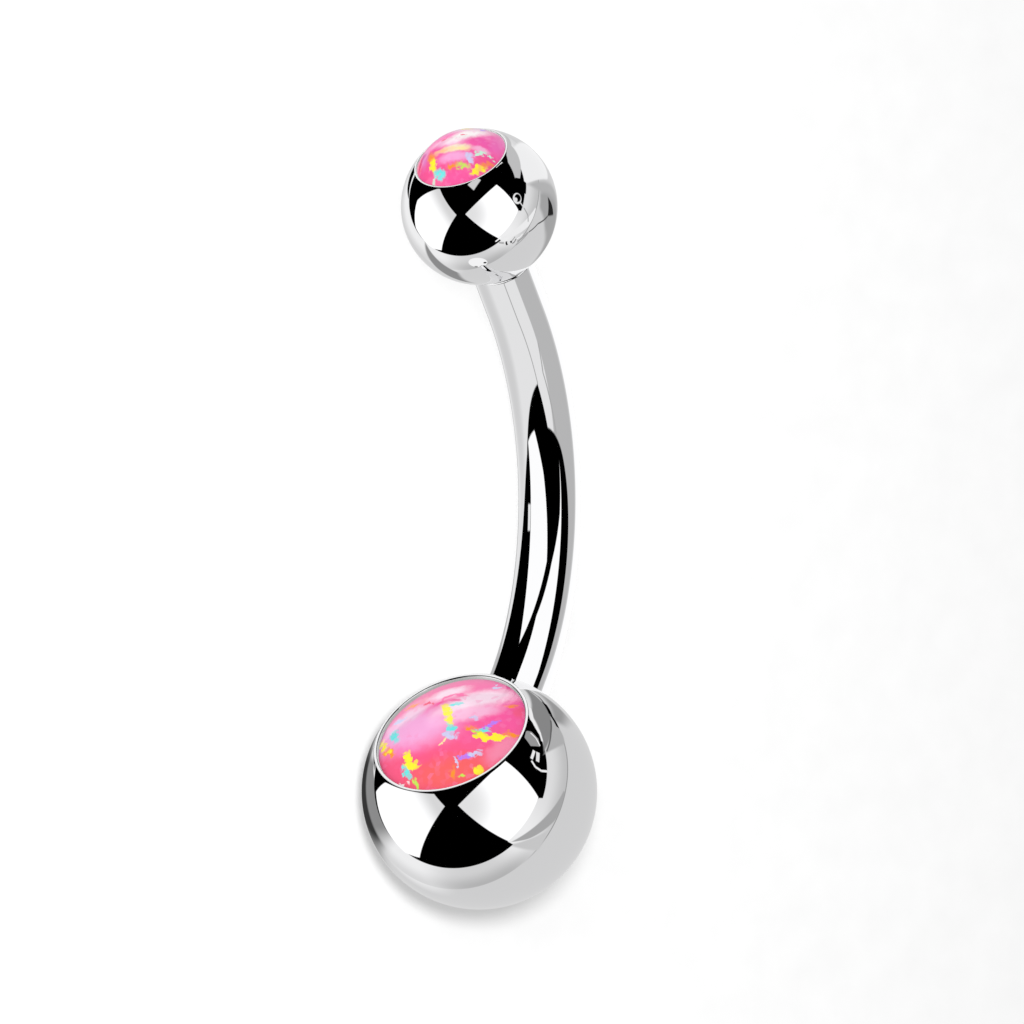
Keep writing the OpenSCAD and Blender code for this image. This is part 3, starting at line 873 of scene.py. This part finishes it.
UPPER_STREAKS = (
    ([(0.738, -0.664, 0.121), (0.826, -0.56, 0.062), (0.888, -0.459, 0.009)], 1.4, 0.42),
    ([(0.833, -0.082, -0.547), (0.943, -0.252, -0.217), (0.895, -0.445, -0.015)], 0.7, 0.08),
    ([(0.895, -0.445, -0.015), (0.694, -0.717, 0.065)], 0.5, 0.36),
    ([(0.875, 0.10, 0.47), (0.935, -0.027, 0.354)], 0.8, 0.8),
    ([(0.935, -0.027, 0.354), (0.964, -0.169, 0.206), (0.947, -0.287, 0.144)], 0.7, 0.42),
    ([(0.35, 0.825, 0.443), (0.447, 0.866, 0.227)], 0.8, 1.0),
    ([(0.366, -0.785, 0.5), (0.491, -0.695, 0.526)], 1.0, 1.1),
    ([(0.582, -0.735, 0.348), (0.564, -0.762, 0.319), (0.575, -0.779, 0.251)], 1.1, 0.0),
    ([(0.65, -0.706, 0.281), (0.653, -0.724, 0.221)], 1.1, 0.0),
    ([(0.67, -0.696, 0.258), (0.706, -0.656, 0.267), (0.74, -0.613, 0.277)], 0.6, 0.3),
    ([(0.659, -0.729, 0.187), (0.694, -0.698, 0.176), (0.739, -0.64, 0.208)], 0.7, 0.15),
    ([(0.753, -0.63, 0.189), (0.795, -0.587, 0.151), (0.844, -0.519, 0.136)], 0.6, 1.1),
)
# Each row: a direction, half the disc's width in degrees, and its brightness
UPPER_DISCS = (
    ((-0.023, -0.999, -0.045), 9.8, 1.05), ((-0.05, -0.976, -0.20), 1.6, 0.3),
    ((0.105, -0.993, -0.056), 1.6, 0.0), ((0.838, 0.173, 0.517), 7.0, 0.95),
    ((0.845, 0.185, 0.502), 5.0, 0.0), ((0.818, 0.150, 0.555), 2.6, 0.9),
)
print("streaks:", len(LOWER_STREAKS), "and", len(UPPER_STREAKS), "discs:", len(UPPER_DISCS))

# %% The light round a ball
WALL_AXIS, WALL_ANGLE = (-0.494, 0.362, 0.791), 122.4
OPENING_AXIS, OPENING_ANGLE = (-0.456, 0.344, 0.821), 95.5
FOLD = [(0.30, -0.60, 0.74), (1.0, 0.10, 0.20), (1.0, -0.02, -0.04), (0.866, -0.484, 0.124),
        (0.677, -0.644, 0.355), (0.425, -0.757, 0.497)]
WEDGE = [(-0.855, -0.045, -0.515), (-0.79, 0.10, -0.605), (-0.613, 0.19, -0.765), (-0.35, 0.27, -0.90),
         (-0.50, 0.40, -0.77), (-0.95, 0.20, -0.20)]
BRIDGE = [(0.868, -0.092, 0.495), (1.0, -0.10, 0.20), (0.70, -0.80, 0.10), (0.420, -0.722, 0.553),
          (0.60, -0.40, 0.69)]
# The left softbox is dimmer towards the first direction, the right one towards the second
LEFT_FADE, RIGHT_FADE = (0.75, 0.52, 0.41), (-0.34, -0.209, 0.917)


def ball_light(look, behind, front, left_softbox, streaks, discs, fold_light):
    # The grey back, and the white wall, which is shaded at its right, its foot and its far edge
    light = 0.72 + 0.32 * towards(look, (-0.7, -0.6, -0.4)).ramp(0.82, 1.0)
    wall = 1.0 - 0.17 * towards(look, (0.99, 0.25, -0.05)).ramp(0.45, 0.98)
    wall = wall - 0.26 * towards(look, (0.05, -1.0, 0.0)).ramp(0.72, 0.99)
    wall = wall - 0.22 * towards(look, WALL_AXIS).ramp(cos(radians(102)), cos(radians(122)))
    light = over(light, cone(look, WALL_AXIS, WALL_ANGLE, 0.6), wall)
    seam = cone(look, WALL_AXIS, WALL_ANGLE + 1, 0.3) - cone(look, WALL_AXIS, WALL_ANGLE - 0.2, 0.3)
    light = over(light, seam * towards(look, (0.95, 0.0, -0.3)).ramp(0.45, 0.75), 0.35)
    for corners, softness, brightness in behind:
        light = over(light, patch(look, corners, softness), brightness)
    fold = patch(look, FOLD, 1.2) * cone(look, (0.285, -0.699, -0.656), 72.7, 0.8)
    light = over(light, fold, fold_light)

    # The dark opening, with a bridge across its foot and a wedge at its left
    opening = cone(look, OPENING_AXIS, OPENING_ANGLE, 0.3) * (1 - patch(look, BRIDGE, 0.6))
    light = over(light, opening.maths("MAXIMUM", patch(look, WEDGE, 1)), 0.0)
    for corners, softness, brightness in front:
        light = over(light, patch(look, corners, softness), brightness)

    # The two softboxes, the smallest reflections, and a top light that the domed stones catch
    dim = towards(look, LEFT_FADE).ramp(-0.62, -0.30)
    light = over(light, patch(look, left_softbox, 0.8), 1.24 - 0.45 * dim)
    dim = towards(look, RIGHT_FADE).ramp(cos(radians(38)), cos(radians(4)))
    light = over(light, patch(look, RIGHT_SOFTBOX, 0.8), 1.24 - 0.36 * dim)
    for direction, half_angle, brightness in discs:
        light = over(light, cone(look, direction, half_angle, 0.5), brightness)
    for chain, half_width, brightness in streaks:
        for start, end in zip(chain, chain[1:]):
            light = over(light, streak(look, start, end, half_width), brightness)
    return over(light, cone(look, (-0.37, 0.876, -0.30), 10, 3), 1.1)


# %% The light round the bar
BAR_SEAMS = (
    [(0.088, -0.936, 0.342), (0.132, -0.927, 0.351), (0.113, -0.631, 0.767), (0.067, -0.64, 0.765)],
    [(0.656, -0.603, 0.455), (0.69, -0.581, 0.433), (0.561, -0.543, 0.624), (0.501, -0.569, 0.653)],
    [(0.501, -0.569, 0.653), (0.551, -0.548, 0.629), (0.673, -0.221, 0.706), (0.623, -0.234, 0.746)],
)
BAR_OPENING = [(-0.55, 0.347, -0.759), (-0.974, -0.202, 0.104), (0.841, -0.095, 0.532),
               (0.977, 0.112, 0.179), (0.947, 0.292, -0.131)]
BAR_POINT = [(-0.974, -0.202, 0.104), (0.08, -0.642, 0.762), (0.228, -0.32, 0.92), (0.25, 0.05, 0.96),
             (-0.70, 0.20, 0.68)]
BAR_LEFT = [
    (-0.49, -0.418, 0.765), (-0.921, -0.287, 0.262), (-0.947, 0.162, 0.278), (-0.805, 0.535, 0.257),
    (-0.406, 0.893, 0.195), (0.105, 0.414, 0.904), (-0.027, 0.178, 0.984), (-0.336, -0.108, 0.936),
]
BAR_RIGHT_START = [(0.677, -0.172, 0.716), (0.645, 0.141, 0.751), (0.741, 0.256, 0.621), (0.72, 0.10, 0.68)]
BAR_RIGHT = [(0.645, 0.141, 0.751), (0.377, 0.422, 0.824), (0.031, 0.784, 0.62), (0.078, 0.925, 0.371)]
GLINT = [(-0.996, 0.068, 0.063), (-0.963, 0.079, 0.258), (-0.939, 0.234, 0.25), (-0.976, 0.208, 0.061)]
# Directions inside the two patches that run open
IN_OPENING, IN_RIGHT = (-0.19, 0.85, 0.50), (0.70, 0.50, 0.50)


def bar_light(look):
    light = 0.89 - 0.35 * towards(look, (0.752, 0.590, -0.294)).ramp(-0.02, 0.03)
    light = light - 0.18 * towards(look, (-0.75, -0.45, -0.5)).ramp(0.8, 1.0)
    light = light + 0.36 * towards(look, (0.72, 0.04, -0.69)).ramp(0.88, 0.99)
    for seam in BAR_SEAMS:
        light = over(light, patch(look, seam, 1), 0.45)
    opening = patch(look, BAR_OPENING, 1, inside=IN_OPENING)
    light = over(light, opening.maths("MAXIMUM", patch(look, BAR_POINT, 1)), 0.0)
    light = over(light, patch(look, BAR_LEFT, 1), 1.15)
    right = patch(look, BAR_RIGHT_START, 1).maths("MAXIMUM", patch(look, BAR_RIGHT, 1, inside=IN_RIGHT))
    right = right * (1 - cone(look, (0.979, -0.109, 0.173), 36.4, 0.5))
    light = over(light, right, 1.15)
    return over(light, patch(look, GLINT, 1), 0.9)


# %% Hanging the three tents
def light_tent(name, radius, lighting, lit):
    material, tree = new_material(name)
    look = Wire.node(tree, "ShaderNodeTexCoord", output="Object").vector("NORMALIZE")
    glow = Wire.node(tree, "ShaderNodeEmission", inputs={"Color": lighting(look)})
    clear = Wire.node(tree, "ShaderNodeBsdfTransparent")
    both = Wire.node(tree, "ShaderNodeAddShader", inputs={0: glow, 1: clear})
    Wire.node(tree, "ShaderNodeOutputMaterial", inputs={"Surface": both})
    material.cycles.emission_sampling = "NONE"

    mesh = bpy.data.meshes.new(name)
    shell = bmesh.new()
    bmesh.ops.create_icosphere(shell, subdivisions=4, radius=radius)
    shell.to_mesh(mesh)
    shell.free()
    mesh.materials.append(material)
    tent = new_object(name, mesh)
    tent.visible_camera = tent.visible_diffuse = tent.visible_shadow = False
    receivers = bpy.data.collections.new("lit_by_" + name)
    for piece in lit:
        receivers.objects.link(piece)
    tent.light_linking.receiver_collection = receivers
    print(f"{name}: {len(tree.nodes)} nodes, shines on {', '.join(piece.name for piece in lit)}")


LOWER_FOLD_LIGHT, UPPER_FOLD_LIGHT = 0.44, 0.98
for name, radius, tables, pieces in (
    ("tent_for_lower_ball", 0.60,
     (LOWER_BEHIND, LOWER_FRONT, LOWER_SOFTBOX, LOWER_STREAKS, (), LOWER_FOLD_LIGHT),
     [lower_ball, lower_stone]),
    ("tent_for_upper_ball", 0.62,
     (UPPER_BEHIND, UPPER_FRONT, UPPER_SOFTBOX, UPPER_STREAKS, UPPER_DISCS, UPPER_FOLD_LIGHT),
     [upper_ball, upper_stone]),
):
    light_tent(name, radius, lambda look: ball_light(look, *tables), pieces)
light_tent("tent_for_bar", 0.64, bar_light, [bar])
# Only the bar is left in mirror images: the balls show a little of it, and it shows just its tent
lower_ball.visible_glossy = lower_stone.visible_glossy = False
upper_ball.visible_glossy = upper_stone.visible_glossy = False

# %% [markdown]
# ## White all round
# The world itself is plain white. The camera sees it as the backdrop, and matt surfaces, which
# are the opal and the table, are lit by it from all sides. Mirror rays get nothing from it,
# because they have already met a tent.

# %% The world
def white_world():
    world = bpy.data.worlds.new("white_world")
    world.use_nodes = True
    tree = world.node_tree
    tree.nodes.clear()
    rays = Wire.node(tree, "ShaderNodeLightPath").socket.node.outputs
    camera_ray, matt_ray = Wire(tree, rays["Is Camera Ray"]), Wire(tree, rays["Is Diffuse Ray"])
    strength = camera_ray * 0.98 + matt_ray * 0.56
    glow = Wire.node(tree, "ShaderNodeBackground", inputs={"Color": (1, 1, 1, 1), "Strength": strength})
    Wire.node(tree, "ShaderNodeOutputWorld", inputs={"Surface": glow})
    return world


scene.world = white_world()
scene.view_settings.view_transform = "Standard"
print("world:", scene.world.name)

# %% [markdown]
# ## Two lamps
# Light from all sides leaves no shadow, and without one the ring would seem to float. A broad
# lamp models the stones gently. A smaller one, further up the table, lights the table alone
# and is blocked by the lower ball alone: it gives the ball the short shadow that it stands on.
# Both are hidden from mirror rays, because the tents already have their softboxes.

# %% The lamps
def lamp(name, size, energy, target, direction, distance):
    """A round area lamp. The distance and the direction are counted from its target."""
    data = bpy.data.lights.new(name, "AREA")
    data.shape, data.size, data.energy = "DISK", size, energy
    made = new_object(name, data)
    back = Vector(direction).normalized()
    made.location = target + back * distance
    made.rotation_euler = back.to_track_quat("Z", "Y").to_euler()
    made.visible_glossy = False
    return made


lamp("broad_lamp", 0.07, 0.06, Vector(), (-0.8, 0.25, 1.0), 0.12)
grounding = lamp("grounding_lamp", 0.016, 0.20, AT_LOWER.translation * MM, (-0.72, 0.14, 1.0), 0.12)
lit, blocks = bpy.data.collections.new("lit_by_grounding"), bpy.data.collections.new("blocks_grounding")
lit.objects.link(floor)
blocks.objects.link(lower_ball)
grounding.light_linking.receiver_collection = lit
grounding.light_linking.blocker_collection = blocks

# %% [markdown]
# ## The camera
# The ring was seen from 51 degrees above the table, with the balls one above the other in the
# picture, so the camera is rolled to put the ring's length upright. A long lens keeps both
# balls at the same scale, as a catalogue picture does. The frame is 26 mm wide at the ring.

# %% Looking at the ring
FRAME_WIDTH, LENS, SENSOR = 26.09 * MM, 300.0, 36.0
camera_data = bpy.data.cameras.new("catalogue")
camera_data.lens, camera_data.sensor_width = LENS, SENSOR
camera = new_object("catalogue", camera_data)
distance = FRAME_WIDTH * LENS / SENSOR
aim = Vector((-0.06, 0.195, 3.03)) * MM
camera.matrix_world = Matrix.Translation(aim + VIEW_FRONT * distance) @ STUDIO.to_4x4()
camera_data.clip_start, camera_data.clip_end = 0.01, 2.0
scene.camera = camera
print("camera distance, m:", round(distance, 4))
